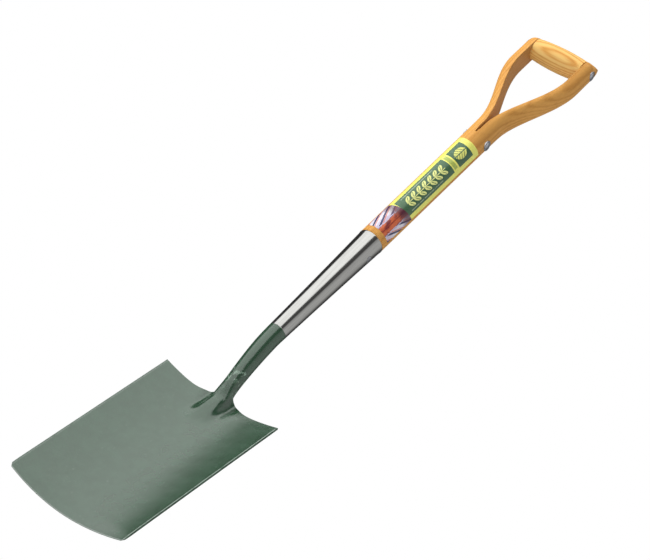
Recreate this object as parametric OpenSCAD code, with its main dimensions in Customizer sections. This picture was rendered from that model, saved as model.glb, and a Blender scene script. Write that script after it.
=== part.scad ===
// Digging spade: a forged steel head, a split ash shaft and a riveted cross grip.
// Upright frame in millimetres. Z runs up the shaft axis, +X is the right-hand side
// and -Y is the front, towards which the blade is hollow. The origin lies on the
// shaft axis, in the middle of the bare wood between the socket rim and the label.

/* [Blade] */
// Width of the blade
blade_w = 185; // [160:5:195]
// Length from the tread to the middle of the cutting edge
blade_len = 288; // [240:2:310]
// Thickness of the plate
blade_t = 2.6; // [2:0.2:4]
// Depth of the hollow across the blade
blade_dish = 12.5; // [8:0.5:16]
// Bulge of the cutting edge below its two corners
edge_bulge = 8; // [4:1:14]
// Radius of the two lower corners
corner_r = 4; // [3:1:12]
// Sag of the tread between its two corners
tread_sag = 4.5; // [1:0.5:5]
// Forward tilt of the blade against the shaft, in degrees
crank = 14.6; // [12:0.2:17]
// Distance of the plate behind the shaft axis at the tread
blade_setback = 28; // [26:1:30]

/* [Neck and socket] */
// Diameter of the neck above the tread
neck_d = 22.4; // [20:0.2:25]
// Outside diameter at the lower end of the straight socket
socket_low_d = 26.2; // [25:0.2:29]
// Outside diameter just below the socket rim
socket_top_d = 37.5; // [36.5:0.5:39]
// Hollow of the socket's sides half-way up, as a difference in radius
socket_waist = 0.3; // [0:0.1:0.8]
// Wall thickness at the socket rim
socket_wall = 1.8; // [1.4:0.1:2.4]
// Length of the straight socket
socket_h = 206; // [190:2:230]
// Height of the gooseneck, from the tread to the straight socket
neck_h = 99; // [90:1:110]

/* [Shaft] */
// Diameter of the ash shaft
shaft_d = 38; // [37:0.5:40]
// Bare wood between the socket rim and the label
bare_band = 10; // [9:1:20]
// Length of the label
label_len = 199; // [150:1:200]
// Arc of the shaft that the label covers, in degrees
label_arc = 131; // [90:1:180]
// Turn of the label's centre line from the front towards +X, in degrees
label_turn = 24; // [0:1:45]
// Thickness of the label, which is sunk flush with the wood
label_t = 0.3; // [0.2:0.1:0.5]
// Height of the bottom of the split above the socket rim
split_rise = 228; // [224:1:232]

/* [Handle] */
// Width over the two arms
arm_span = 115; // [110:1:122]
// Thickness of an arm between its inner and outer face
arm_t = 17.5; // [15:0.5:19]
// Depth of an arm from front to back at the grip
arm_depth = 31; // [26:0.2:34]
// Height of an arm's rounded end above the grip's axis
arm_top = 16.4; // [16:0.2:19]
// Height of the grip's axis above the socket rim
grip_rise = 422; // [412:2:440]
// Diameter of the grip at its middle
grip_d = 36; // [33:0.5:38]
// Diameter of the grip at its ends
grip_end_d = 31; // [26:0.5:32]

/* [Rivets] */
// Diameter of the two rivets in the handle
rivet_d = 6; // [5:0.5:8]
// Diameter of the rivets' washers
washer_d = 15; // [13:0.5:17]
// Thickness of the washers
washer_t = 1.6; // [1.2:0.1:2.4]
// Height of a rivet's domed head above its washer
head_rise = 1.4; // [1:0.1:2]
// Height of the crotch rivet above the bottom of the split
crotch_rivet_rise = 1; // [0:0.5:6]
// Diameter of the rivet that pins the socket to the shaft
socket_rivet_d = 8.5; // [6:0.5:9]
// Depth of the socket rivet below the rim
socket_rivet_drop = 26.5; // [20:0.5:40]

/* [Hidden] */
$fn = 96;
eps = 0.01;
enamel = [0.45, 0.53, 0.47];
zinc = [0.62, 0.62, 0.64];
ash = [0.80, 0.56, 0.29];
lime = [0.93, 0.90, 0.45];

// Heights along the shaft axis
rim_z = -bare_band / 2;
socket_z = rim_z - socket_h;
tread_z = socket_z - neck_h;
label_z = bare_band / 2;
split_z = rim_z + split_rise;
grip_z = rim_z + grip_rise;
crotch_z = split_z + crotch_rivet_rise;
socket_rivet_z = rim_z - socket_rivet_drop;

// Fits and small details
shaft_r = shaft_d / 2;
fit_gap = 0.05;
tang_len = socket_h - 20;
tang_low_r = 9.5;
rim_lip = 0.4;
tongue_h = 55;
tongue_spread = 9;
weld_step = 0.5;
neck_inset = 4;
neck_runout = 6;
neck_bend = 1.6;
neck_sides = 32;
arm_sides = 20;
rim_lip_h = 4;
washer_seat_r = washer_d / 2 + fit_gap;
rivet_hole_r = rivet_d / 2 + fit_gap;
crotch_seat = 1.6;
grip_seat = 3.6;
crotch_face_x = shaft_r - crotch_seat;
grip_face_x = arm_span / 2 - grip_seat;
arm_inner_x = arm_span / 2 - arm_t;
arm_root_r = shaft_r - 0.1;
arm_spread = grip_rise - split_rise;
kerf_w = 2.4;

// Smooth step from 0 to 1 between the heights a and b
function ease(z, a, b) = let (u = min(1, max(0, (z - a) / (b - a)))) u * u * (3 - 2 * u);

// Radius of the circle through both ends and the middle of a chord with a given sag
function sag_radius(chord, sag) = (chord * chord / 4 + sag * sag) / (2 * sag);

// Closed solid through a list of rings, each a list of points of the same length
module loft(rings) {
    n = len(rings[0]);
    last = len(rings) - 1;
    points = [for (ring = rings) for (p = ring) p];
    sides = [for (i = [0 : last - 1]) for (j = [0 : n - 1])
        let (a = i * n + j, b = i * n + (j + 1) % n)
        each [[a, b + n, b], [a, a + n, b + n]]];
    low = [for (j = [0 : n - 1]) j];
    high = [for (j = [n - 1 : -1 : 0]) last * n + j];
    polyhedron(points, concat([low], sides, [high]));
}

// Points along an arc of the circle with the given centre and radius
function arc(centre, r, from, to, n) =
    [for (i = [0 : n]) let (a = from + (to - from) * i / n) centre + r * [cos(a), sin(a)]];

// ---- Forged head -------------------------------------------------------------

// Front view of the blade: the tread at the top, the cutting edge at the bottom
module blade_outline() {
    half = blade_w / 2;
    tread_r = sag_radius(blade_w, tread_sag);
    tread_a = asin(half / tread_r);
    edge_r = sag_radius(blade_w, edge_bulge);
    edge_y = edge_r - blade_len;
    edge_a = asin((half - corner_r) / (edge_r - corner_r));
    corner_x = half - corner_r;
    corner_y = edge_y - sqrt(pow(edge_r - corner_r, 2) - corner_x * corner_x);
    polygon(concat(
        arc([0, tread_r - tread_sag], tread_r, 270 + tread_a, 270 - tread_a, 16),
        arc([-corner_x, corner_y], corner_r, 180, 270 - edge_a, 6),
        arc([0, edge_y], edge_r, 270 - edge_a, 270 + edge_a, 24),
        arc([corner_x, corner_y], corner_r, 270 + edge_a, 360, 6)));
}

// Plate of even thickness, hollow towards -Y, with its middle at Y = 0
module blade_plate() {
    hollow_r = sag_radius(blade_w, blade_dish);
    depth = blade_dish * 3;
    intersection() {
        rotate([90, 0, 0]) linear_extrude(2 * depth, center = true) blade_outline();
        translate([0, -hollow_r, -blade_len - 1]) difference() {
            cylinder(h = blade_len + 10, r = hollow_r + blade_t / 2, $fn = 360);
            translate([0, 0, -1])
                cylinder(h = blade_len + 12, r = hollow_r - blade_t / 2, $fn = 360);
        }
    }
}

// Section of the gooseneck at a height above the tread. Below the tread it
// flattens and widens into the tongue that carries the neck on to the blade.
function neck_ring(z) =
    let (offset = blade_setback - neck_inset,
         u = min(1, max(0, 1 - z / (neck_h + neck_runout))),
         t = min(1, max(0, -z / tongue_h)),
         r = (neck_d + (socket_low_d - 2 * weld_step - neck_d) * ease(z, 0.1 * neck_h, neck_h)) / 2,
         plate_y = blade_setback + z * tan(crank),
         y = z > 0 ? offset * pow(u, neck_bend) : plate_y - neck_inset * (1 - t),
         across = r + tongue_spread * t,
         deep = r * (1 - t) + (blade_t / 2 + weld_step) * t)
    [for (i = [0 : neck_sides - 1]) let (a = 360 * i / neck_sides)
        [across * cos(a), y + deep * sin(a), tread_z + z]];

module neck() {
    heights = concat([for (i = [0 : 9]) -tongue_h * (1 - i / 10)],
                     [for (i = [0 : 16]) (neck_h + 5) * i / 16]);
    loft([for (z = heights) neck_ring(z)]);
}

// Radius of the socket at a fraction of the way up to its rim
function socket_r(k) =
    (socket_low_d + (socket_top_d - socket_low_d) * k) / 2 - 4 * socket_waist * k * (1 - k);

module socket_body() {
    steps = 6;
    rotate_extrude() polygon(concat(
        [[0, socket_z]],
        [for (i = [0 : steps]) let (k = i / steps)
            [socket_r(k), socket_z + (socket_h - rim_lip_h) * k]],
        [[socket_top_d / 2 + rim_lip, rim_z - rim_lip_h / 2],
         [socket_top_d / 2 + rim_lip, rim_z], [0, rim_z]]));
}

// Tapered end of the shaft, or the hole for it when grown by a gap
module tang(gap) {
    rotate_extrude() polygon([
        [0, rim_z - tang_len - gap], [tang_low_r + gap, rim_z - tang_len - gap],
        [socket_top_d / 2 - socket_wall + gap, rim_z],
        [socket_top_d / 2 - socket_wall + gap, rim_z + 1],
        [0, rim_z + 1]]);
}

// Hole or pin along X at a height on the shaft axis
module cross_pin(z, r, half) {
    translate([-half, 0, z]) rotate([0, 90, 0]) cylinder(h = 2 * half, r = r);
}

module forged_head() {
    color(enamel) difference() {
        union() {
            translate([0, blade_setback, tread_z]) rotate([-crank, 0, 0]) blade_plate();
            neck();
            socket_body();
        }
        tang(fit_gap);
        cross_pin(socket_rivet_z, socket_rivet_d / 2 + fit_gap, shaft_d);
    }
}

// ---- Ash shaft ---------------------------------------------------------------

// Outer and inner face of the right arm at a height above the socket rim
function arm_outer(rise) =
    arm_root_r + (arm_span / 2 - arm_root_r)
        * ease(rise, split_rise + 0.154 * arm_spread, grip_rise - 0.18 * arm_spread);
function arm_inner(rise) =
    kerf_w / 2 + (arm_inner_x - kerf_w / 2)
        * ease(rise, split_rise + 0.094 * arm_spread, grip_rise - 0.188 * arm_spread);

// Half the depth of an arm, which thins from the full shaft to the grip
function arm_half_depth(rise) =
    arm_root_r + (arm_depth / 2 - arm_root_r)
        * ease(rise, split_rise, split_rise + 0.68 * arm_spread);

// Section of the right arm: flat towards the hand, rounded on the outside. The two
// arms start half a saw cut from the middle.
// It starts as half the round shaft and grows fuller. shrink closes the rounded
// top end from 1 down to 0.
function arm_ring(rise, shrink = 1) =
    let (inner = arm_inner(rise),
         outer = arm_outer(rise) - 3 * (1 - shrink),
         half_d = arm_half_depth(rise) * shrink,
         full = 1 - 0.16 * ease(rise, split_rise, split_rise + 0.43 * arm_spread))
    [for (i = [0 : arm_sides])
        let (a = 180 * i / arm_sides - 90,
             c = i % arm_sides == 0 ? 0 : cos(a),
             s = sin(a))
        [inner + (outer - inner) * pow(c, full),
         half_d * sign(s) * pow(abs(s), full), rim_z + rise]];

module arm() {
    root = 4;
    rises = [for (i = [0 : 24]) split_rise - root + (arm_spread + root) * i / 24];
    loft(concat(
        [for (rise = rises) arm_ring(rise)],
        [for (a = [15 : 15 : 75]) arm_ring(grip_rise + arm_top * sin(a), cos(a))]));
}

// Flat seats for washers on both sides, open from the given face outwards
module washer_seats(z, face_x) {
    for (side = [-1, 1])
        translate([side * face_x, 0, z]) rotate([0, side * 90, 0])
            cylinder(h = 12, r = washer_seat_r);
}

// Wrap around part of the shaft, from the given inner radius outwards
module label_wrap(r_in, r_out) {
    rotate([0, 0, label_turn - 90 - label_arc / 2])
        translate([0, 0, label_z])
            rotate_extrude(angle = label_arc)
                translate([r_in, 0]) square([r_out - r_in, label_len]);
}

module ash_shaft() {
    color(ash) difference() {
        union() {
            tang(0);
            translate([0, 0, rim_z + fit_gap])
                cylinder(h = split_rise - fit_gap, r = shaft_r);
            arm();
            mirror([1, 0, 0]) arm();
        }
        label_wrap(shaft_r - label_t, shaft_r + 1);
        cross_pin(socket_rivet_z, socket_rivet_d / 2 + fit_gap, shaft_d);
        cross_pin(crotch_z, rivet_hole_r, shaft_d);
        cross_pin(grip_z, rivet_hole_r, arm_span);
        washer_seats(crotch_z, crotch_face_x);
        washer_seats(grip_z, grip_face_x);
    }
}

// ---- Grip, rivets and label --------------------------------------------------

module grip() {
    half = arm_inner_x - fit_gap;
    bulge = (grip_d - grip_end_d) / 2;
    steps = 16;
    color(ash) translate([0, 0, grip_z]) rotate([0, 90, 0]) difference() {
        rotate_extrude() polygon(concat(
            [[0, half], [0, -half]],
            [for (i = [0 : steps]) let (u = 2 * i / steps - 1)
                [grip_end_d / 2 + bulge * (1 - u * u), half * u]]));
        cylinder(h = 3 * half, r = rivet_hole_r, center = true);
    }
}

// Rivet along X with a domed head at each end, seated on washers at face_x
module through_rivet(z, face_x) {
    head_r = rivet_d * 0.85;
    head_x = face_x + washer_t + fit_gap;
    dome_r = sag_radius(2 * head_r, head_rise);
    translate([0, 0, z]) rotate([0, 90, 0]) {
        cylinder(h = 2 * head_x + eps, r = rivet_d / 2, center = true);
        for (side = [0, 1])
            mirror([0, 0, side]) intersection() {
                translate([0, 0, head_x]) cylinder(h = head_rise + 1, r = head_r);
                translate([0, 0, head_x + head_rise - dome_r]) sphere(r = dome_r);
            }
    }
}

module washer(z, face_x, side) {
    translate([side * (face_x + fit_gap / 2), 0, z]) rotate([0, side * 90, 0])
        difference() {
            cylinder(h = washer_t, r = washer_d / 2);
            translate([0, 0, -1]) cylinder(h = washer_t + 2, r = rivet_hole_r);
        }
}

module grip_rivet() {
    color(zinc) through_rivet(grip_z, grip_face_x);
}

module grip_washer_left() {
    color(zinc) washer(grip_z, grip_face_x, -1);
}

module grip_washer_right() {
    color(zinc) washer(grip_z, grip_face_x, 1);
}

module crotch_rivet() {
    color(zinc) through_rivet(crotch_z, crotch_face_x);
}

module crotch_washer_left() {
    color(zinc) washer(crotch_z, crotch_face_x, -1);
}

module crotch_washer_right() {
    color(zinc) washer(crotch_z, crotch_face_x, 1);
}

// Rivet through socket and tang, dressed flush with the outside of the socket
module socket_rivet() {
    color(zinc) intersection() {
        cross_pin(socket_rivet_z, socket_rivet_d / 2, shaft_d);
        translate([0, 0, -0.2]) socket_body();
    }
}

module shaft_label() {
    color(lime) label_wrap(shaft_r - label_t + fit_gap, shaft_r);
}

forged_head();
ash_shaft();
grip();
grip_rivet();
grip_washer_left();
grip_washer_right();
crotch_rivet();
crotch_washer_left();
crotch_washer_right();
socket_rivet();
shaft_label();
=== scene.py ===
"""Garden spade: the looks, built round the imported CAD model. Metres, in the CAD frame."""
import math

import bmesh
import bpy
from mathutils import Matrix, Vector


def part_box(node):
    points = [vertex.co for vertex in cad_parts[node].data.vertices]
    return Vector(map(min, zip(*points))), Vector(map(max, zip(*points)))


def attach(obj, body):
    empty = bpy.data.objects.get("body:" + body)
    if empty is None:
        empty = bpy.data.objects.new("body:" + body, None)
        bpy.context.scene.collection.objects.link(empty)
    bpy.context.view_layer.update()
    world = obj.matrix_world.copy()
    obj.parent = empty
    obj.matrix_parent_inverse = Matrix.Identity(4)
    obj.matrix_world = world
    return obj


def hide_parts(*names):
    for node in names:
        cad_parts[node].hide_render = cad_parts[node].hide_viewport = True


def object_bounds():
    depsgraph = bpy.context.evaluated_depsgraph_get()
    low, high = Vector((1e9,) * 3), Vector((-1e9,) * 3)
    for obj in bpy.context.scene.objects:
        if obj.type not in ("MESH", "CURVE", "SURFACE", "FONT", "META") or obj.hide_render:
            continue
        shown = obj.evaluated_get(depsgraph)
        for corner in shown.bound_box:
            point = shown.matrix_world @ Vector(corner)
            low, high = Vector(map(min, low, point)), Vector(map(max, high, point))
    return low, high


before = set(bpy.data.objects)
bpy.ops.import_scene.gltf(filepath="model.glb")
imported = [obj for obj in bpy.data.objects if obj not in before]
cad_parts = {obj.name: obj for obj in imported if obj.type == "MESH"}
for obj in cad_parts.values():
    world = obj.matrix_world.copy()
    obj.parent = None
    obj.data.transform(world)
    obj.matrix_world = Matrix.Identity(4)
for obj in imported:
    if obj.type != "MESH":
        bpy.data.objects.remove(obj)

CAD_LOW, CAD_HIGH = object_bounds()
MM = 0.001

# ---- Places and sizes, from the CAD frame ------------------------------------

HEAD_LOW, HEAD_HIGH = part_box("forged_head")
WOOD_LOW, WOOD_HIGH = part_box("ash_shaft")
GRIP_LOW, GRIP_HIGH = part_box("grip")
LABEL_LOW, LABEL_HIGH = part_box("shaft_label")
RIM_Z = HEAD_HIGH.z
RIM_R = (WOOD_HIGH.y - WOOD_LOW.y) / 2
SHAFT_R = RIM_R - 0.12 * MM            # the label lies just proud of the wood
BLADE_HALF = HEAD_HIGH.x
GRIP_Z = (GRIP_LOW.z + GRIP_HIGH.z) / 2
GRIP_HALF = GRIP_HIGH.x
ARM_OUT = WOOD_HIGH.x
ARM_DEPTH = 15.5 * MM                  # half the depth of an arm at the grip
KERF = 1.2 * MM                        # half the width of the saw cut that starts the split
SPLIT_Z = RIM_Z + 228 * MM
ARM_RISE = GRIP_Z - SPLIT_Z
CRANK = math.radians(14.6)
TREAD_Z = RIM_Z - 305 * MM
BLADE_Y = 28 * MM                      # the plate behind the shaft axis at the tread
BLADE_LEN = 288 * MM
BLADE_T = 2.6 * MM
DISH = 12.5 * MM
TREAD_SAG = 4.5 * MM
WEB_BEND = 45.0                        # forward curve of the web beside the neck, per metre
EDGE_BULGE = 8 * MM
CORNER_R = 4 * MM
NECK_H = 99 * MM
NECK_R = 11.2 * MM
NECK_INSET = 4 * MM                    # neck axis in front of the plate at the tread
NECK_RUNOUT = 6 * MM                   # the bend runs out this far above the neck
NECK_BEND = 1.6                        # power of the bend's curve
NECK_FOOT = 26 * MM                    # height over which the flat foot turns round
SOCKET_LOW_R = 13.1 * MM
SOCKET_TOP_R = 18.75 * MM
SOCKET_WAIST = 0.3 * MM
PAINT_Z = RIM_Z - 191 * MM


def ease(x, a=0.0, b=1.0):
    """Smooth step from 0 to 1 between a and b."""
    u = min(1.0, max(0.0, (x - a) / (b - a)))
    return u * u * (3 - 2 * u)


def mix(a, b, k):
    """Value at the fraction k of the way from a to b."""
    return a + (b - a) * k


def steps(a, b, n):
    """n + 1 even values from a to b."""
    return [mix(a, b, i / n) for i in range(n + 1)]


# ---- Mesh helpers ------------------------------------------------------------

def smooth(obj, degrees):
    """Smooth shading that keeps edges above an angle sharp."""
    obj.data.shade_smooth()
    obj.data.set_sharp_from_angle(angle=math.radians(degrees))


def new_piece(name, bm, node, smooth_angle):
    """Turns a bmesh into a piece on the root body that stands for a CAD node."""
    bmesh.ops.recalc_face_normals(bm, faces=bm.faces)
    mesh = bpy.data.meshes.new(name)
    bm.to_mesh(mesh)
    bm.free()
    obj = bpy.data.objects.new(name, mesh)
    bpy.context.scene.collection.objects.link(obj)
    smooth(obj, smooth_angle)
    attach(obj, "root")
    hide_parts(node)
    return obj


def bridge(bm, low, high):
    """Quads between two closed loops of the same length."""
    n = len(low)
    for i in range(n):
        j = (i + 1) % n
        bm.faces.new((low[i], low[j], high[j], high[i]))


def loft(bm, rings):
    """Closed skin through rings of points, with flat ends."""
    loops = [[bm.verts.new(p) for p in ring] for ring in rings]
    for low, high in zip(loops, loops[1:]):
        bridge(bm, low, high)
    bm.faces.new(reversed(loops[0]))
    bm.faces.new(loops[-1])


def close_sheet(bm, grids):
    """Skin over two grids of vertices, joined by a rim round their borders."""
    for grid in grids:
        for a, b in zip(grid, grid[1:]):
            for i in range(len(a) - 1):
                bm.faces.new((a[i], a[i + 1], b[i + 1], b[i]))

    def border(grid):
        right = [row[-1] for row in grid[1:-1]]
        left = [row[0] for row in grid[1:-1]]
        return grid[0] + right + grid[-1][::-1] + left[::-1]
    bridge(bm, border(grids[0]), border(grids[1]))


def lathe(bm, profile, sides, height):
    """Solid turned about a line along X at a height, from (radius, x) pairs."""
    angles = [2 * math.pi * i / sides for i in range(sides)]
    loft(bm, [[Vector((x, r * math.cos(a), height + r * math.sin(a))) for a in angles]
              for r, x in profile])


def combine(obj, bm, operation):
    """Joins a bmesh solid to a piece, or takes it out."""
    bmesh.ops.recalc_face_normals(bm, faces=bm.faces)
    mesh = bpy.data.meshes.new("other")
    bm.to_mesh(mesh)
    bm.free()
    other = bpy.data.objects.new("other", mesh)
    bpy.context.scene.collection.objects.link(other)
    modifier = obj.modifiers.new("boolean", "BOOLEAN")
    modifier.operation = operation
    modifier.solver = "EXACT"
    modifier.object = other
    graph = bpy.context.evaluated_depsgraph_get()
    mesh = bpy.data.meshes.new_from_object(obj.evaluated_get(graph))
    obj.modifiers.clear()
    obj.data = mesh
    bpy.data.objects.remove(other, do_unlink=True)


# ---- Forged head -------------------------------------------------------------

def neck_centre_y(h):
    """Depth of the gooseneck's centre line at a height above the tread."""
    u = max(0.0, 1 - h / (NECK_H + NECK_RUNOUT))
    return (BLADE_Y - NECK_INSET) * u ** NECK_BEND


def neck_radius(h):
    """Radius of the round part of the gooseneck at a height above the tread."""
    return mix(NECK_R, SOCKET_LOW_R, ease(h, 0.1 * NECK_H, NECK_H))


def neck_ring(h, sides):
    """Tilted section of the gooseneck, squarer and flatter in front towards its foot."""
    y, r = neck_centre_y(max(h, 0)), neck_radius(h)
    slope = (neck_centre_y(max(h, 0) + MM) - neck_centre_y(max(h, 0) - MM)) / (2 * MM)
    tilt = 0.75 * math.atan(slope)
    foot = 1 - ease(h, -2 * MM, NECK_FOOT)
    ring = []
    for i in range(sides):
        a = 2 * math.pi * i / sides
        c, s = math.cos(a), math.sin(a)
        if s < 0:
            square = 1 - 0.38 * foot
            c = math.copysign(abs(c) ** square, c)
            s = -(abs(s) ** square) * (1 - 0.2 * foot)
        c *= r * (1 + 0.1 * foot)
        s *= r
        ring.append(Vector((c, y + s * math.cos(tilt), TREAD_Z + h - s * math.sin(tilt))))
    return ring


def round_ring(r, z, sides):
    """Level circle round the shaft axis."""
    angles = [2 * math.pi * i / sides for i in range(sides)]
    return [Vector((r * math.cos(a), r * math.sin(a), z)) for a in angles]


def head_tube():
    """Gooseneck and socket as one tube with an open, lipped rim."""
    sides = 72
    rings = [neck_ring(h, sides) for h in steps(-6 * MM, NECK_H, 40)]
    lip = 0.35 * MM
    wall = 1.6 * MM
    top = RIM_Z
    base = TREAD_Z + NECK_H
    outline = [(mix(SOCKET_LOW_R, SOCKET_TOP_R, k) - 4 * SOCKET_WAIST * k * (1 - k),
                mix(base, top - 4 * MM, k)) for k in steps(0.04, 1, 24)]
    outline += [(SOCKET_TOP_R + 0.6 * lip, top - 2.6 * MM), (SOCKET_TOP_R + lip, top - 1.6 * MM),
                (SOCKET_TOP_R + lip, top - 0.6 * MM), (SOCKET_TOP_R + 0.4 * lip, top),
                (SOCKET_TOP_R - wall, top), (SOCKET_TOP_R - wall - 0.2 * MM, top - 8 * MM)]
    rings += [round_ring(r, z, sides) for r, z in outline]
    bm = bmesh.new()
    loft(bm, rings)
    return bm


def tongue(x, v, width, height, length):
    """Height of the forged tongue that fans out from the neck over the plate."""
    fade = 1 - ease(v, -6 * MM, length)
    half = mix(width, 1.35 * width, ease(v, 0, length))
    return height * fade * math.exp(-((abs(x) / half) ** 3.6))


def plate_point(x, v, front):
    """Point on the front or the back of the blade, v below the tread line.
    On the front, shallow valleys beside the tongue draw together downwards."""
    hollow = DISH * (x / BLADE_HALF) ** 2
    thin = mix(1.0, 0.35, ease(v, BLADE_LEN - 26 * MM, BLADE_LEN))
    half_t = BLADE_T / 2 * thin
    if front:
        w = hollow + half_t + tongue(x, v, 12.5 * MM, 12.5 * MM, 60 * MM)
        valley = mix(21 * MM, 14 * MM, ease(v, -4 * MM, 44 * MM))
        w -= 2.2 * MM * math.exp(-(((abs(x) - valley) / (5.5 * MM)) ** 2)
                                 - ((v - 6 * MM) / (20 * MM)) ** 2)
    else:
        ridge = tongue(x, v, 10 * MM, 6 * MM, 40 * MM) * ease(v, -12 * MM, 0)
        w = hollow - half_t - ridge
    # above the tread line the plate curves forward with the neck
    y = BLADE_Y - v * math.sin(CRANK) - WEB_BEND * min(v, 0.0) ** 2 - w * math.cos(CRANK)
    z = TREAD_Z - v * math.cos(CRANK) + w * math.sin(CRANK)
    return Vector((x, y, z))


def blade_plate():
    """The plate: a fine grid in front, one behind, and a rim between them."""
    across, down = 120, 120
    bm = bmesh.new()
    grids = []
    for front in (True, False):
        grid = []
        for j in range(down + 1):
            row = []
            t = j / down
            t = t * t * 0.35 + t * 0.65
            for i in range(across + 1):
                u = 2 * i / across - 1
                u = u * (0.55 + 0.45 * u * u) if abs(u) < 1 else u
                x = u * BLADE_HALF
                web = 18.5 * MM * math.exp(-((x / (24.5 * MM)) ** 2))
                tread = TREAD_SAG * (1 - u * u) - min(web, 15 * MM)
                edge = BLADE_LEN - EDGE_BULGE * u * u
                corner = abs(x) - (BLADE_HALF - CORNER_R)
                if corner > 0:
                    edge -= CORNER_R - math.sqrt(max(CORNER_R ** 2 - corner ** 2, 0.0))
                v = mix(tread, edge, t)
                row.append(bm.verts.new(plate_point(x, v, front)))
            grid.append(row)
        grids.append(grid)
    close_sheet(bm, grids)
    return bm


def blend_joint(obj):
    """Relaxes the mesh where the neck runs into the plate, so the two flow together."""
    bm = bmesh.new()
    bm.from_mesh(obj.data)
    bmesh.ops.triangulate(bm, faces=[f for f in bm.faces if len(f.verts) > 4])
    centre = Vector((0, BLADE_Y - 6 * MM, TREAD_Z + 2 * MM))
    reach, rounds = 26 * MM, 10
    near = [v for v in bm.verts if (v.co - centre).length < reach]
    for _ in range(rounds):
        moved = {}
        for v in near:
            linked = [e.other_vert(v).co for e in v.link_edges]
            mean = sum(linked, Vector()) / len(linked)
            weight = 0.5 * (1 - ease((v.co - centre).length, 0.55 * reach, reach))
            moved[v] = v.co.lerp(mean, weight)
        for v, co in moved.items():
            v.co = co
    bm.to_mesh(obj.data)
    bm.free()


def rivet_groove(side):
    """Ring-shaped cutter that marks the flush rivet in the side of the socket."""
    low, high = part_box("socket_rivet")
    middle = (low.z + high.z) / 2
    radius = (high.z - low.z) / 2
    inner, outer = radius - 0.15 * MM, radius + 0.5 * MM
    depth, clear = 0.5 * MM, 3 * MM
    wall = mix(SOCKET_LOW_R, SOCKET_TOP_R, 0.875) - 0.13 * MM
    sides = 48
    bm = bmesh.new()
    loops = []
    for i in range(sides):
        a = 2 * math.pi * i / sides
        loop = []
        for r, lift in ((inner, 0), (outer, 0), (outer, clear), (inner, clear)):
            y = r * math.cos(a)
            floor = math.sqrt(wall ** 2 - y ** 2) - depth
            loop.append(bm.verts.new((side * (floor + lift), y, middle + r * math.sin(a))))
        loops.append(loop)
    for a, b in zip(loops, loops[1:] + loops[:1]):
        bridge(bm, a, b)
    return bm


def make_head():
    """Blade, neck and socket in one skin, with a groove round the flush rivet."""
    plate = new_piece("forged_head_skin", blade_plate(), "forged_head", 40)
    combine(plate, head_tube(), "UNION")
    blend_joint(plate)
    for side in (1, -1):
        combine(plate, rivet_groove(side), "DIFFERENCE")
    smooth(plate, 40)
    return plate


# ---- Ash shaft with its two arms ---------------------------------------------

ARM_INNER = GRIP_HALF - 0.1 * MM


def arm_outer(z):
    """Outermost point of an arm at a height."""
    return mix(SHAFT_R, ARM_OUT - 0.2 * MM,
               ease(z - SPLIT_Z, 0.154 * ARM_RISE, 0.82 * ARM_RISE))


def arm_inner(z):
    """Flat inner face: a round-ended saw cut that opens into the hand opening."""
    h = z - SPLIT_Z
    cut_end = KERF * math.sqrt(max(0.0, 1 - max(0.0, 1 - h / KERF) ** 2))
    return mix(cut_end, ARM_INNER, ease(h, 0.094 * ARM_RISE, 0.812 * ARM_RISE))


def arm_section(z, side, points, shrink=1.0):
    """Loop round one arm, from the back edge over the round outside and back inside.
    It starts as half the round shaft. shrink closes the rounded top end."""
    inner = arm_inner(z)
    outer = arm_outer(z) - 3 * MM * (1 - shrink)
    depth = mix(SHAFT_R, ARM_DEPTH, ease(z, SPLIT_Z, SPLIT_Z + 0.68 * ARM_RISE)) * shrink
    full = 1 - 0.16 * ease(z, SPLIT_Z, SPLIT_Z + 0.43 * ARM_RISE)
    full += 0.22 * ease(z, SPLIT_Z + 0.5 * ARM_RISE, SPLIT_Z + 0.9 * ARM_RISE)
    worn = mix(1.1 * MM, 1.5 * MM, ease(z, SPLIT_Z + 0.5 * ARM_RISE, GRIP_Z))
    worn = min(worn * ease(z, SPLIT_Z + KERF, SPLIT_Z + 12 * MM), 0.3 * depth)
    opened = ease(z, SPLIT_Z, SPLIT_Z + 0.1 * ARM_RISE)
    loop = []
    for u in points:
        a = math.pi * u
        deep = math.copysign(abs(math.cos(a)) ** full, math.cos(a))
        if u <= 1:
            spread = inner + (outer - inner) * abs(math.sin(a)) ** full
            x = max(mix(SHAFT_R * abs(math.sin(a)), spread, opened), inner + worn)
            loop.append(Vector((side * x, depth * deep, z)))
        else:
            loop.append(Vector((side * inner, (depth - worn) * math.cos(a), z)))
    return loop


def washer_seats(node):
    """Pair of round cutters that flatten the wood under a washer and its mirror image."""
    low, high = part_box(node)
    middle = (low.z + high.z) / 2
    radius = (high.z - low.z) / 2 + 0.08 * MM
    bm = bmesh.new()
    for side in (1, -1):
        lathe(bm, [(radius, side * (low.x - 0.02 * MM)), (radius, side * (low.x + 9 * MM))],
              48, middle)
    return bm


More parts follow.
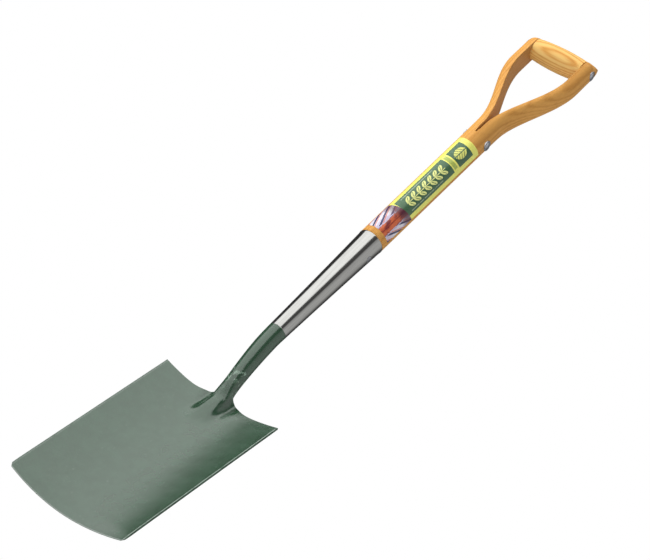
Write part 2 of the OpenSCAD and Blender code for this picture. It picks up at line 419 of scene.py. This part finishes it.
def make_shaft():
    """Round shaft that splits into two arms, with flat seats for the washers."""
    half_sides = 36
    outer = [i / half_sides for i in range(half_sides + 1)]
    inner = [1 + i / 16 for i in range(1, 16)]
    bm = bmesh.new()
    # round shaft, ring by ring, from inside the socket up to the split
    ring_points = [(side, u) for side, us in ((1, outer), (-1, outer[-2:0:-1])) for u in us]
    tang_r = SOCKET_TOP_R - 1.9 * MM
    profile = [(tang_r - 1.2 * MM, RIM_Z - 30 * MM), (tang_r, RIM_Z - 0.3 * MM),
               (SHAFT_R - 0.5 * MM, RIM_Z + 0.05 * MM), (SHAFT_R, RIM_Z + 0.6 * MM)]
    profile += [(SHAFT_R, z) for z in steps(RIM_Z + 4 * MM, SPLIT_Z, 30)]
    loops = []
    for r, z in profile:
        loops.append([bm.verts.new((side * r * math.sin(math.pi * u), r * math.cos(math.pi * u), z))
                      for side, u in ring_points])
    for low, high in zip(loops, loops[1:]):
        bridge(bm, low, high)
    bm.faces.new(reversed(loops[0]))
    crotch = loops[-1]
    n = len(outer)
    chord = [bm.verts.new((0, SHAFT_R * math.cos(math.pi * u), SPLIT_Z)) for u in inner]
    right_root = crotch[:n] + chord
    left_root = [crotch[0]] + crotch[n:][::-1] + [crotch[n - 1]] + chord
    heights = [SPLIT_Z + KERF * k for k in (0.06, 0.25, 0.6, 1.0, 2.0)]
    heights += steps(SPLIT_Z + 4 * MM, GRIP_Z, 64)
    top_r = WOOD_HIGH.z - GRIP_Z
    for side, root in ((1, right_root), (-1, left_root)):
        previous = root
        sections = [arm_section(z, side, outer + inner) for z in heights]
        for a in steps(9, 81, 8):
            lift = math.radians(a)
            sections.append(arm_section(GRIP_Z + top_r * math.sin(lift), side, outer + inner,
                                        math.cos(lift)))
        for section in sections:
            loop = [bm.verts.new(p) for p in section]
            bridge(bm, previous, loop)
            previous = loop
        bm.faces.new(previous)
    obj = new_piece("ash_shaft_wood", bm, "ash_shaft", 50)
    for node in ("crotch_washer_right", "grip_washer_right"):
        combine(obj, washer_seats(node), "DIFFERENCE")
    smooth(obj, 50)
    return obj


def make_grip():
    """Barrel-shaped cross piece between the arms."""
    bm = bmesh.new()
    r_mid = (GRIP_HIGH.z - GRIP_LOW.z) / 2
    r_end = r_mid - 2.5 * MM
    profile = [(r_end * 0.9, -GRIP_HALF)]
    profile += [(mix(r_mid, r_end, u * u), GRIP_HALF * u) for u in steps(-0.995, 0.995, 40)]
    profile.append((r_end * 0.9, GRIP_HALF))
    lathe(bm, profile, 72, GRIP_Z)
    return new_piece("grip_wood", bm, "grip", 40)


# ---- Label -------------------------------------------------------------------

LABEL_TURN = math.radians(24)
LABEL_HALF_ARC = math.radians(65.5)
LABEL_R = RIM_R


def make_label():
    """Thin curved film."""
    bm = bmesh.new()
    columns, rows = 64, 60
    grids = []
    for r in (LABEL_R, LABEL_R - 0.22 * MM):
        grid = []
        for j in range(rows + 1):
            t = j / rows
            row = []
            for i in range(columns + 1):
                u = 2 * i / columns - 1
                a = LABEL_TURN + LABEL_HALF_ARC * u
                z = mix(LABEL_LOW.z + 0.2 * MM, LABEL_HIGH.z - 0.2 * MM, t)
                row.append(bm.verts.new((r * math.sin(a), -r * math.cos(a), z)))
            grid.append(row)
        grids.append(grid)
    close_sheet(bm, grids)
    return new_piece("label_film", bm, "shaft_label", 40)


# ---- Material helpers --------------------------------------------------------

class Shader:
    """Short calls for building one node material."""

    def __init__(self, name):
        self.material = bpy.data.materials.new(name)
        self.material.use_nodes = True
        self.tree = self.material.node_tree
        self.bsdf = self.tree.nodes["Principled BSDF"]
        coords = self.tree.nodes.new("ShaderNodeTexCoord")
        self.place = coords.outputs["Object"]
        split = self.node("ShaderNodeSeparateXYZ", Vector=self.place)
        self.x, self.y, self.z = (split.outputs[i] for i in range(3))
        facing = self.node("ShaderNodeSeparateXYZ", Vector=coords.outputs["Normal"])
        self.normal_x = facing.outputs[0]

    def node(self, kind, **inputs):
        made = self.tree.nodes.new(kind)
        for key, value in inputs.items():
            self.put(made.inputs[key.replace("_", " ")], value)
        return made

    def put(self, socket, value):
        if isinstance(value, bpy.types.NodeSocket):
            self.tree.links.new(value, socket)
        else:
            socket.default_value = value

    def math(self, operation, *values):
        made = self.tree.nodes.new("ShaderNodeMath")
        made.operation = operation
        for socket, value in zip(made.inputs, values):
            self.put(socket, value)
        return made.outputs[0]

    def add(self, a, b):
        return self.math("ADD", a, b)

    def sub(self, a, b):
        return self.math("SUBTRACT", a, b)

    def mul(self, a, b):
        return self.math("MULTIPLY", a, b)

    def less(self, a, b):
        return self.math("LESS_THAN", a, b)

    def more(self, a, b):
        return self.math("GREATER_THAN", a, b)

    def both(self, *masks):
        out = masks[0]
        for mask in masks[1:]:
            out = self.mul(out, mask)
        return out

    def near(self, value, middle, half):
        """1 where value lies within half of middle."""
        return self.less(self.math("ABSOLUTE", self.sub(value, middle)), half)

    def smooth(self, value, low, high):
        made = self.node("ShaderNodeMapRange", Value=value, From_Min=low, From_Max=high)
        made.interpolation_type = "SMOOTHSTEP"
        return made.outputs[0]

    def stretch(self, scale, shift=(0, 0, 0)):
        made = self.node("ShaderNodeMapping", Vector=self.place, Scale=scale, Location=shift)
        return made.outputs[0]

    def noise(self, vector, detail=3.0, roughness=0.5):
        made = self.node("ShaderNodeTexNoise", Vector=vector, Scale=1.0, Detail=detail,
                         Roughness=roughness)
        return made.outputs["Fac"]

    def blend(self, factor, a, b):
        made = self.tree.nodes.new("ShaderNodeMix")
        made.data_type = "RGBA"
        self.put(made.inputs[0], factor)
        self.put(made.inputs[6], a if not isinstance(a, tuple) else (*a, 1))
        self.put(made.inputs[7], b if not isinstance(b, tuple) else (*b, 1))
        return made.outputs[2]

    def ramp(self, factor, stops):
        made = self.tree.nodes.new("ShaderNodeValToRGB")
        band = made.color_ramp
        while len(band.elements) < len(stops):
            band.elements.new(0.5)
        for element, (place, colour) in zip(band.elements, stops):
            element.position = place
            element.color = (*colour, 1)
        self.put(made.inputs[0], factor)
        return made.outputs[0]

    def bump(self, height, distance):
        made = self.node("ShaderNodeBump", Height=height, Distance=distance, Strength=1.0)
        self.tree.links.new(made.outputs[0], self.bsdf.inputs["Normal"])

    def finish(self, **inputs):
        for key, value in inputs.items():
            self.put(self.bsdf.inputs[key.replace("_", " ")], value)
        return self.material


def paint(obj, material):
    obj.data.materials.clear()
    obj.data.materials.append(material)


# ---- Materials ---------------------------------------------------------------

GREEN = (0.019, 0.058, 0.028)
GREEN_LIGHT = (0.026, 0.072, 0.038)
STEEL = (0.43, 0.43, 0.415)
STEEL_DARK = (0.36, 0.36, 0.345)


def head_material():
    """Green enamel up to an uneven line on the neck, bare polished steel above it."""
    s = Shader("enamel_and_steel")
    wobble = s.mul(s.sub(s.noise(s.stretch((160, 160, 40))), 0.5), 3 * MM)
    line = s.add(PAINT_Z, wobble)
    bare = s.smooth(s.sub(s.z, line), -0.4 * MM, 0.4 * MM)

    mottle = s.noise(s.stretch((60, 60, 60)), detail=5)
    green = s.blend(s.smooth(mottle, 0.3, 0.75), GREEN, GREEN_LIGHT)
    grime = s.smooth(s.noise(s.stretch((240, 240, 240)), detail=6, roughness=0.65), 0.64, 0.72)
    green = s.blend(s.mul(grime, 0.35), green, (0.11, 0.17, 0.12))
    # Painted highlights: small light spots on the neck above the tread stand in for hammered facets
    # catching the light.
    above = s.math("ABSOLUTE", s.sub(s.z, TREAD_Z + 28 * MM))
    painted_glints = s.smooth(s.noise(s.stretch((230, 230, 120), (3, 1, 2)), detail=3), 0.53, 0.61)
    painted_glints = s.mul(painted_glints, s.sub(1.0, s.smooth(above, 8 * MM, 24 * MM)))
    green = s.blend(s.mul(painted_glints, 0.65), green, (0.27, 0.4, 0.3))
    # A lighter line just inside each side edge of the blade, four times as strong on the +X edge as
    # on the -X edge.
    edge_noise = s.noise(s.stretch((200, 200, 60)), detail=4)
    from_edge = s.sub(BLADE_HALF, s.math("ABSOLUTE", s.x))
    pale_edge_band = s.sub(1.0, s.smooth(s.math("ABSOLUTE", s.sub(from_edge, 1.7 * MM)), 0.3 * MM, 0.9 * MM))
    pale_edge_band = s.mul(pale_edge_band, s.smooth(edge_noise, 0.3, 0.5))
    pale_edge_band = s.mul(pale_edge_band, s.add(0.2, s.mul(s.more(s.x, 0.0), 0.6)))
    green = s.blend(pale_edge_band, green, (0.38, 0.43, 0.39))
    across = s.mul(s.x, 1 / BLADE_HALF)
    low_edge = s.add(HEAD_LOW.z, s.mul(s.mul(across, across), EDGE_BULGE + 3.1 * MM))
    worn = s.sub(1.0, s.smooth(s.sub(s.z, low_edge), 0.8 * MM, 2.0 * MM))
    green = s.blend(s.mul(worn, 0.55), green, (0.3, 0.34, 0.31))

    brushed = s.noise(s.stretch((900, 900, 14)), detail=4, roughness=0.6)
    marks = s.smooth(s.noise(s.stretch((420, 420, 160)), detail=5, roughness=0.7), 0.66, 0.74)
    steel = s.blend(s.smooth(brushed, 0.35, 0.7), STEEL, STEEL_DARK)
    steel = s.blend(s.mul(marks, 0.4), steel, (0.2, 0.2, 0.2))

    peel = s.noise(s.stretch((420, 420, 420)), detail=2)
    ripple = s.noise(s.stretch((38, 38, 30)), detail=3, roughness=0.6)
    hammered = s.noise(s.stretch((150, 150, 60)), detail=2)
    joint = s.math("ABSOLUTE", s.sub(s.z, TREAD_Z + 4 * MM))
    forged = s.sub(1.0, s.smooth(s.add(joint, s.mul(s.math("ABSOLUTE", s.x), 0.8)), 22 * MM, 58 * MM))
    beaten = s.mul(forged, s.noise(s.stretch((190, 190, 120)), detail=2))
    paint_height = s.add(s.mul(peel, 0.1), s.add(s.mul(ripple, 0.8), s.mul(hammered, 0.35)))
    paint_height = s.add(paint_height, s.mul(beaten, 2.4))
    painted = s.sub(1.0, bare)
    height = s.add(s.mul(painted, s.add(paint_height, 0.25)), s.mul(bare, s.mul(brushed, 0.05)))
    s.bump(height, 0.5 * MM)
    rough_paint = s.add(0.2, s.mul(mottle, 0.1))
    rough_steel = s.add(0.09, s.mul(brushed, 0.07))
    rough = s.add(s.mul(painted, rough_paint), s.mul(bare, rough_steel))
    return s.finish(Base_Color=s.blend(bare, green, steel), Metallic=bare, Roughness=rough,
                    Coat_Weight=s.mul(painted, 0.8), Coat_Roughness=0.12)


def wood_material(name, light, middle, dark, along, facing, ring, contrast, seed):
    """Varnished ash: growth layers across the facing direction, pores along the grain."""
    s = Shader(name)
    fine = [700, 700, 700]
    fine["XYZ".index(along)] = 11
    slow = [26, 26, 26]
    slow["XYZ".index(along)] = 5
    shift = (seed, seed * 2, seed * 3)
    depth = s.add(s.add(s.mul(s.x, facing[0]), s.mul(s.y, facing[1])), s.mul(s.z, facing[2]))
    bend = s.mul(s.sub(s.noise(s.stretch(tuple(slow), shift), detail=2), 0.5), 9 * MM)
    layers = s.math("FRACT", s.mul(s.add(s.add(depth, bend), 1.0), 1 / ring))
    band = s.smooth(s.math("ABSOLUTE", s.sub(layers, 0.5)), 0.12, 0.5)
    pores = s.noise(s.stretch(tuple(fine), shift), detail=5, roughness=0.62)
    cloud = s.noise(s.stretch(tuple(v * 0.9 for v in slow), shift), detail=4)
    tone = s.add(s.mul(band, contrast), s.add(s.mul(pores, 0.45), s.mul(cloud, 0.55)))
    colour = s.ramp(s.smooth(tone, 0.3, 0.95 + contrast), [(0.0, light), (0.5, middle), (1.0, dark)])
    pits = s.smooth(pores, 0.6, 0.72)
    colour = s.blend(s.mul(pits, 0.35), colour, dark)
    # Painted shade: above the split, the arm faces that turn towards each other are darkened in the
    # colour.
    inwards = s.mul(s.normal_x, s.math("SIGN", s.mul(s.x, -1.0)))
    painted_inner_face_shade = s.mul(s.smooth(inwards, 0.55, 0.9), s.more(s.z, SPLIT_Z))
    colour = s.blend(s.mul(painted_inner_face_shade, 0.5 if along == "Z" else 0.0), colour, (0.36, 0.2, 0.085))
    s.bump(s.sub(s.mul(band, 0.05), s.mul(pits, 0.18)), 0.25 * MM)
    return s.finish(Base_Color=colour, Roughness=s.add(0.42, s.mul(pores, 0.16)),
                    Specular_IOR_Level=0.2, Coat_Weight=0.12, Coat_Roughness=0.25)


def rivet_material():
    """Dull zinc on the rivets and washers, scuffed and a little tarnished."""
    s = Shader("zinc")
    blotch = s.noise(s.stretch((380, 380, 380)), detail=5, roughness=0.65)
    scuff = s.noise(s.stretch((1500, 1500, 300)), detail=4)
    colour = s.ramp(s.smooth(blotch, 0.3, 0.75),
                    [(0.0, (0.56, 0.57, 0.6)), (0.6, (0.4, 0.41, 0.44)), (1.0, (0.22, 0.22, 0.23))])
    s.bump(scuff, 0.06 * MM)
    return s.finish(Base_Color=colour, Metallic=1.0, Roughness=s.add(0.26, s.mul(blotch, 0.22)))


LIME = (0.88, 0.86, 0.17)
LEAF_GREEN = (0.045, 0.12, 0.055)
RED = (0.66, 0.13, 0.04)
RED_DARK = (0.2, 0.02, 0.022)
MAROON = (0.085, 0.012, 0.028)
NAVY = (0.035, 0.03, 0.1)
WHITE = (0.80, 0.79, 0.84)
LILAC = (0.58, 0.5, 0.66)

# On the label t runs up its length from 0 to 1, u across it from -1 to 1, and b is |u|.
LEAVES_PER_LABEL = 17.0                # spacing of the sprig's leaves along t
LEAF_B = 0.2                           # middle of a sprig leaf
EMBLEM_T = 0.876                       # middle of the small panel
FOOT_SLANT = 0.022                     # slope of the line above the striped foot


def label_material():
    """Printed film: lime ground, two green panels with a sprig and a leaf, striped foot."""
    s = Shader("printed_label")
    angle = s.math("ARCTAN2", s.x, s.mul(s.y, -1.0))
    u = s.mul(s.sub(angle, LABEL_TURN), 1 / LABEL_HALF_ARC)
    t = s.mul(s.sub(s.z, LABEL_LOW.z), 1 / (LABEL_HIGH.z - LABEL_LOW.z))
    b = s.math("ABSOLUTE", u)
    inside = s.less(b, 0.66)

    panel = s.both(inside, s.near(t, 0.492, 0.255))
    emblem = s.both(inside, s.near(t, EMBLEM_T, 0.0745))
    foot = s.less(s.sub(t, s.mul(u, FOOT_SLANT)), 0.24)

    # sprig: a stem with pairs of slanting leaves
    beat = s.sub(s.math("FRACT", s.mul(t, LEAVES_PER_LABEL)), 0.5)
    slant = s.sub(beat, s.mul(s.sub(b, LEAF_B), 1.4))
    along = s.math("POWER", s.mul(slant, 1 / 0.34), 2.0)
    across = s.math("POWER", s.mul(s.sub(b, LEAF_B), 1 / 0.17), 2.0)
    leaf = s.less(s.add(along, across), 1.0)
    vein = s.both(s.near(slant, 0.0, 0.05), s.near(b, LEAF_B, 0.13))
    stem = s.less(b, 0.022)
    sprig = s.math("MAXIMUM", s.sub(leaf, vein), stem)
    sprig = s.both(sprig, s.near(t, 0.5, 0.205))
    rules = s.both(s.near(b, 0.5, 0.022), s.near(t, 0.46, 0.17))
    rules = s.mul(rules, s.more(s.noise(s.stretch((40, 40, 700)), detail=1), 0.4))

    # single round leaf in the small panel
    tall = s.mul(s.sub(t, EMBLEM_T), 1 / 0.056)
    wide = s.mul(b, 1 / 0.36)
    disc = s.less(s.add(s.mul(tall, tall), s.mul(wide, wide)), 1.0)
    rib = s.near(u, 0.0, 0.03)
    fans = s.near(s.math("FRACT", s.add(s.mul(tall, 2.2), s.mul(wide, 1.3))), 0.5, 0.12)
    leaf_disc = s.mul(disc, s.sub(1.0, s.math("MAXIMUM", rib, s.mul(fans, 0.9))))

    # foot: a red bar between white fields crossed by slanting navy lines
    off = s.math("ABSOLUTE", s.sub(u, 0.19))
    blot = s.noise(s.stretch((120, 120, 60)), detail=3)
    bar = s.blend(s.smooth(blot, 0.42, 0.58), RED_DARK, RED)
    bar = s.blend(s.near(u, 0.2, 0.02), bar, RED_DARK)
    run = s.math("FRACT", s.sub(s.mul(t, 8.0), s.mul(off, 2.2)))
    field = s.blend(s.smooth(blot, 0.35, 0.65), WHITE, LILAC)
    field = s.blend(s.near(run, 0.4, 0.15), field, NAVY)
    field = s.blend(s.near(run, 0.66, 0.06), field, RED)
    field = s.blend(s.near(off, 0.36, 0.03), field, LILAC)
    stripes = s.blend(s.less(off, 0.3), field, bar)
    shade = s.smooth(s.sub(t, s.mul(u, FOOT_SLANT)), 0.14, 0.215)
    stripes = s.blend(s.mul(shade, s.sub(1.0, s.mul(off, 0.35))), stripes, MAROON)

    ground = s.blend(s.mul(s.near(t, 0.772, 0.016), s.less(b, 0.55)), LIME, (0.42, 0.5, 0.1))
    cloudy = s.noise(s.stretch((90, 90, 30)), detail=4)
    colour = s.blend(panel, ground, s.blend(s.mul(cloudy, 0.3), LEAF_GREEN, (0.08, 0.17, 0.07)))
    colour = s.blend(s.mul(panel, sprig), colour, (0.85, 0.87, 0.3))
    colour = s.blend(s.mul(panel, s.mul(rules, 0.6)), colour, (0.6, 0.68, 0.5))
    colour = s.blend(emblem, colour, LEAF_GREEN)
    colour = s.blend(s.mul(emblem, leaf_disc), colour, (0.8, 0.8, 0.2))
    colour = s.blend(foot, colour, stripes)
    s.bump(s.noise(s.stretch((160, 160, 60)), detail=3), 0.08 * MM)
    return s.finish(Base_Color=colour, Roughness=s.add(0.3, s.mul(cloudy, 0.12)),
                    Coat_Weight=0.25, Coat_Roughness=0.15)


# ---- Stage, light and camera -------------------------------------------------

def make_floor():
    """Pale floor below the spade. It shows only from above."""
    half = 1.6
    bm = bmesh.new()
    corners = [(-half, -half), (half, -half), (half, half), (-half, half)]
    bm.faces.new([bm.verts.new((x, y, HEAD_LOW.z - 0.2 * MM)) for x, y in corners])
    mesh = bpy.data.meshes.new("floor")
    bm.to_mesh(mesh)
    bm.free()
    floor = bpy.data.objects.new("floor", mesh)
    bpy.context.scene.collection.objects.link(floor)
    s = Shader("pale_floor")
    s.finish(Base_Color=(0.86, 0.86, 0.85, 1), Roughness=0.8)
    facing = s.tree.nodes.new("ShaderNodeNewGeometry")
    clear = s.tree.nodes.new("ShaderNodeBsdfTransparent")
    far = s.math("SQRT", s.add(s.mul(s.x, s.x), s.mul(s.y, s.y)))
    gone = s.math("MAXIMUM", facing.outputs["Backfacing"], s.smooth(far, 0.7, half * 0.95))
    swap = s.tree.nodes.new("ShaderNodeMixShader")
    s.put(swap.inputs[0], gone)
    s.tree.links.new(s.bsdf.outputs[0], swap.inputs[1])
    s.tree.links.new(clear.outputs[0], swap.inputs[2])
    out = s.tree.nodes["Material Output"]
    s.tree.links.new(swap.outputs[0], out.inputs["Surface"])
    paint(floor, s.material)


# Brightness that polished surfaces mirror, by bearing round the shaft in degrees:
# 0 is the front, positive towards +X.
REFLECTED = [(-180, 0.06), (-80, 0.06), (-71, 0.1), (-64, 1.9), (14, 1.95), (22, 0.14),
             (47, 0.1), (57, 0.6), (80, 0.78), (120, 0.7), (143, 0.3), (160, 0.08)]


def make_world():
    """White to the camera, soft light on rough surfaces, studio panels in reflections."""
    world = bpy.data.worlds.new("studio")
    bpy.context.scene.world = world
    world.use_nodes = True
    tree = world.node_tree
    tree.nodes.clear()

    def link(a, b):
        tree.links.new(a, b)

    def math_node(operation, a, b=None):
        made = tree.nodes.new("ShaderNodeMath")
        made.operation = operation
        for socket, value in zip(made.inputs, (a, b)):
            if isinstance(value, bpy.types.NodeSocket):
                link(value, socket)
            elif value is not None:
                socket.default_value = value
        return made.outputs[0]

    coords = tree.nodes.new("ShaderNodeTexCoord")
    split = tree.nodes.new("ShaderNodeSeparateXYZ")
    link(coords.outputs["Generated"], split.inputs[0])
    x, y, z = (split.outputs[i] for i in range(3))
    bearing = math_node("ARCTAN2", x, math_node("MULTIPLY", y, -1.0))
    # the softbox leans, so its edges shift with height
    lean = tree.nodes.new("ShaderNodeMapRange")
    link(z, lean.inputs["Value"])
    lean.inputs["From Min"].default_value = 0.645
    lean.inputs["From Max"].default_value = 0.70
    lean.inputs["To Max"].default_value = 7.5 / 360
    turn = math_node("ADD", math_node("MULTIPLY", bearing, 0.5 / math.pi), 0.5)
    turn = math_node("SUBTRACT", turn, lean.outputs[0])
    ramp = tree.nodes.new("ShaderNodeValToRGB")
    band = ramp.color_ramp
    while len(band.elements) < len(REFLECTED):
        band.elements.new(0.5)
    brightest = max(level for _, level in REFLECTED)
    for element, (degrees, level) in zip(band.elements, REFLECTED):
        element.position = (degrees + 180) / 360
        element.color = (level / brightest,) * 3 + (1,)
    link(turn, ramp.inputs[0])

    def background(colour, strength):
        made = tree.nodes.new("ShaderNodeBackground")
        if isinstance(colour, tuple):
            made.inputs[0].default_value = (*colour, 1)
        else:
            link(colour, made.inputs[0])
        made.inputs[1].default_value = strength
        return made.outputs[0]

    def choose(factor, a, b):
        made = tree.nodes.new("ShaderNodeMixShader")
        link(factor, made.inputs[0])
        link(a, made.inputs[1])
        link(b, made.inputs[2])
        return made.outputs[0]

    path = tree.nodes.new("ShaderNodeLightPath")
    soft = background((0.96, 0.98, 1.0), 0.5)
    mirrored = background(ramp.outputs[0], brightest)
    seen = background((1, 1, 1), 1.0)
    lit = choose(path.outputs["Is Glossy Ray"], soft, mirrored)
    final = choose(path.outputs["Is Camera Ray"], lit, seen)
    out = tree.nodes.new("ShaderNodeOutputWorld")
    link(final, out.inputs[0])


def area_light(name, bearing, elevation, distance, size, power):
    """Soft panel that looks at the middle of the spade."""
    data = bpy.data.lights.new(name, "AREA")
    data.size = size
    data.energy = power
    lamp = bpy.data.objects.new(name, data)
    a, e = math.radians(bearing), math.radians(elevation)
    way = Vector((math.sin(a) * math.cos(e), -math.cos(a) * math.cos(e), math.sin(e)))
    lamp.location = way * distance + (CAD_LOW + CAD_HIGH) / 2
    lamp.rotation_mode = "QUATERNION"
    lamp.rotation_quaternion = (-way).to_track_quat("-Z", "Y")
    lamp.visible_glossy = False
    bpy.context.scene.collection.objects.link(lamp)


VIEW_BEARING = math.radians(31.12)
VIEW_ELEVATION = math.radians(-28.6)
VIEW_ROLL = math.radians(46.18)
VIEW_DISTANCE = 2.911
VIEW_AIM = Vector((0.0423, -0.0803, -0.1442))
LENS_MM = 128.9
SENSOR_MM = 36.0


def make_camera():
    """Long lens from below on the right, rolled so that the shaft runs up to the right."""
    data = bpy.data.cameras.new("camera")
    data.sensor_width = SENSOR_MM
    data.lens = LENS_MM
    data.clip_start, data.clip_end = 0.05, 30
    camera = bpy.data.objects.new("camera", data)
    back = Vector((math.sin(VIEW_BEARING) * math.cos(VIEW_ELEVATION),
                   -math.cos(VIEW_BEARING) * math.cos(VIEW_ELEVATION),
                   math.sin(VIEW_ELEVATION)))
    right = Vector((math.cos(VIEW_BEARING), math.sin(VIEW_BEARING), 0))
    up = back.cross(right)
    turned_right = right * math.cos(VIEW_ROLL) + up * math.sin(VIEW_ROLL)
    turned_up = up * math.cos(VIEW_ROLL) - right * math.sin(VIEW_ROLL)
    pose = Matrix((turned_right, turned_up, back)).transposed().to_4x4()
    pose.translation = VIEW_AIM + back * VIEW_DISTANCE
    camera.matrix_world = pose
    bpy.context.scene.collection.objects.link(camera)
    bpy.context.scene.camera = camera


# ---- Assembly ----------------------------------------------------------------

paint(make_head(), head_material())
ASH = wood_material("varnished_ash",
                    light=(0.74, 0.37, 0.09), middle=(0.55, 0.245, 0.05), dark=(0.32, 0.105, 0.02),
                    along="Z", facing=(0.5, -0.86, 0.0), ring=4.6 * MM, contrast=0.2, seed=3.0)
paint(make_shaft(), ASH)
GRIP = wood_material("pale_ash",
                     light=(0.9, 0.58, 0.19), middle=(0.72, 0.35, 0.08), dark=(0.45, 0.15, 0.03),
                     along="X", facing=(0.0, -0.93, -0.36), ring=3.4 * MM, contrast=0.45, seed=7.0)
paint(make_grip(), GRIP)
paint(make_label(), label_material())
ZINC = rivet_material()
for node in ("grip_rivet", "grip_washer_left", "grip_washer_right", "crotch_rivet",
             "crotch_washer_left", "crotch_washer_right", "socket_rivet"):
    paint(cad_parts[node], ZINC)

make_floor()
make_world()
area_light("key", bearing=-48, elevation=38, distance=2.6, size=1.6, power=72)
area_light("fill", bearing=60, elevation=10, distance=3.0, size=2.0, power=5)
area_light("back", bearing=170, elevation=35, distance=3.0, size=2.0, power=26)
make_camera()
bpy.context.scene.view_settings.view_transform = "Standard"
